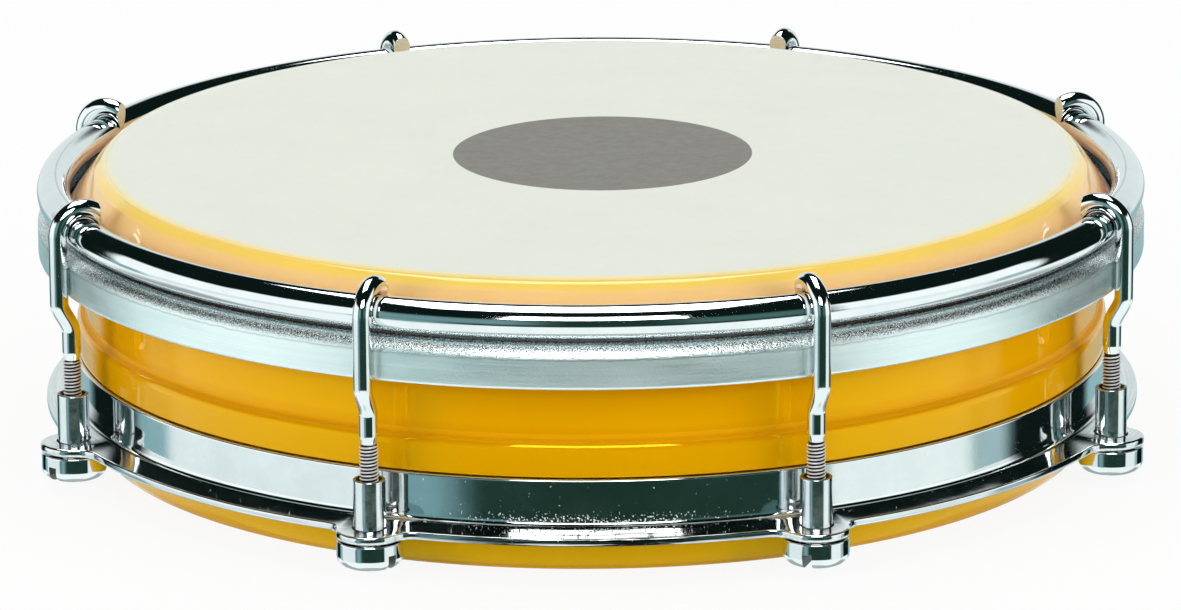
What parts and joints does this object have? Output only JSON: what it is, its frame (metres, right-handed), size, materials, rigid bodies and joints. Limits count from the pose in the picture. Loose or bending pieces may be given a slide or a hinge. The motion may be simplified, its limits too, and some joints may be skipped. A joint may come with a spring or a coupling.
{
  "type": "tamborim",
  "caption": "Small round frame drum: a moulded shell under one film head, which a wire counterhoop, hooks and slotted nuts on a bracket ring pull tight.",
  "frame": {"origin": "on the drum's axis, in the plane that the shell's open rim stands on", "axes": "+Z along the drum's axis, out of the playing face; -Y is the side that the picture looks at, midway between two tuning hooks"},
  "size_m": [0.1614, 0.1614, 0.0424],
  "materials": {
    "shell_plastic": "glossy moulded ABS, warm yellow all through",
    "head_film": "coated polyester film, off-white and translucent",
    "hoop_aluminium": "plain rolled aluminium, dull and slightly grained",
    "chrome_plate": "bright chrome plate on steel"
  },
  "bodies": {
    "drum_body": {"shell": "shell_plastic", "head_membrane": "head_film", "tuning_bracket": "chrome_plate"},
    "hoop_set": {"flesh_hoop": "hoop_aluminium", "counterhoop": "chrome_plate", "tuning_hook_1": "chrome_plate", "tuning_hook_2": "chrome_plate", "tuning_hook_3": "chrome_plate", "tuning_hook_4": "chrome_plate", "tuning_hook_5": "chrome_plate", "tuning_hook_6": "chrome_plate", "tuning_hook_7": "chrome_plate", "tuning_hook_8": "chrome_plate"},
    "nut_1": {"tuning_nut_1": "chrome_plate"},
    "nut_2": {"tuning_nut_2": "chrome_plate"},
    "nut_3": {"tuning_nut_3": "chrome_plate"},
    "nut_4": {"tuning_nut_4": "chrome_plate"},
    "nut_5": {"tuning_nut_5": "chrome_plate"},
    "nut_6": {"tuning_nut_6": "chrome_plate"},
    "nut_7": {"tuning_nut_7": "chrome_plate"},
    "nut_8": {"tuning_nut_8": "chrome_plate"}
  },
  "joints": [
    {"name": "tuning_nut_1_turn", "type": "hinge", "parent": "drum_body", "child": "nut_1", "pos_m": [0.03077, -0.07428, 0.00515], "axis": [0, 0, 1], "range_deg": [-1440, 720]},
    {"name": "tuning_nut_2_turn", "type": "hinge", "parent": "drum_body", "child": "nut_2", "pos_m": [0.07428, -0.03077, 0.00515], "axis": [0, 0, 1], "range_deg": [-1440, 720]},
    {"name": "tuning_nut_3_turn", "type": "hinge", "parent": "drum_body", "child": "nut_3", "pos_m": [0.07428, 0.03077, 0.00515], "axis": [0, 0, 1], "range_deg": [-1440, 720]},
    {"name": "tuning_nut_4_turn", "type": "hinge", "parent": "drum_body", "child": "nut_4", "pos_m": [0.03077, 0.07428, 0.00515], "axis": [0, 0, 1], "range_deg": [-1440, 720]},
    {"name": "tuning_nut_5_turn", "type": "hinge", "parent": "drum_body", "child": "nut_5", "pos_m": [-0.03077, 0.07428, 0.00515], "axis": [0, 0, 1], "range_deg": [-1440, 720]},
    {"name": "tuning_nut_6_turn", "type": "hinge", "parent": "drum_body", "child": "nut_6", "pos_m": [-0.07428, 0.03077, 0.00515], "axis": [0, 0, 1], "range_deg": [-1440, 720]},
    {"name": "tuning_nut_7_turn", "type": "hinge", "parent": "drum_body", "child": "nut_7", "pos_m": [-0.07428, -0.03077, 0.00515], "axis": [0, 0, 1], "range_deg": [-1440, 720]},
    {"name": "tuning_nut_8_turn", "type": "hinge", "parent": "drum_body", "child": "nut_8", "pos_m": [-0.03077, -0.07428, 0.00515], "axis": [0, 0, 1], "range_deg": [-1440, 720]},
    {"name": "hoop_set_travel", "type": "slide", "parent": "drum_body", "child": "hoop_set", "axis": [0, 0, 1], "range_m": [-0.001, 0.002], "deforming": ["head_membrane"]}
  ],
  "couplings": [
    {"joint": "tuning_nut_1_turn", "follows": "hoop_set_travel", "rad_per_m": -12566},
    {"joint": "tuning_nut_2_turn", "follows": "hoop_set_travel", "rad_per_m": -12566},
    {"joint": "tuning_nut_3_turn", "follows": "hoop_set_travel", "rad_per_m": -12566},
    {"joint": "tuning_nut_4_turn", "follows": "hoop_set_travel", "rad_per_m": -12566},
    {"joint": "tuning_nut_5_turn", "follows": "hoop_set_travel", "rad_per_m": -12566},
    {"joint": "tuning_nut_6_turn", "follows": "hoop_set_travel", "rad_per_m": -12566},
    {"joint": "tuning_nut_7_turn", "follows": "hoop_set_travel", "rad_per_m": -12566},
    {"joint": "tuning_nut_8_turn", "follows": "hoop_set_travel", "rad_per_m": -12566}
  ]
}
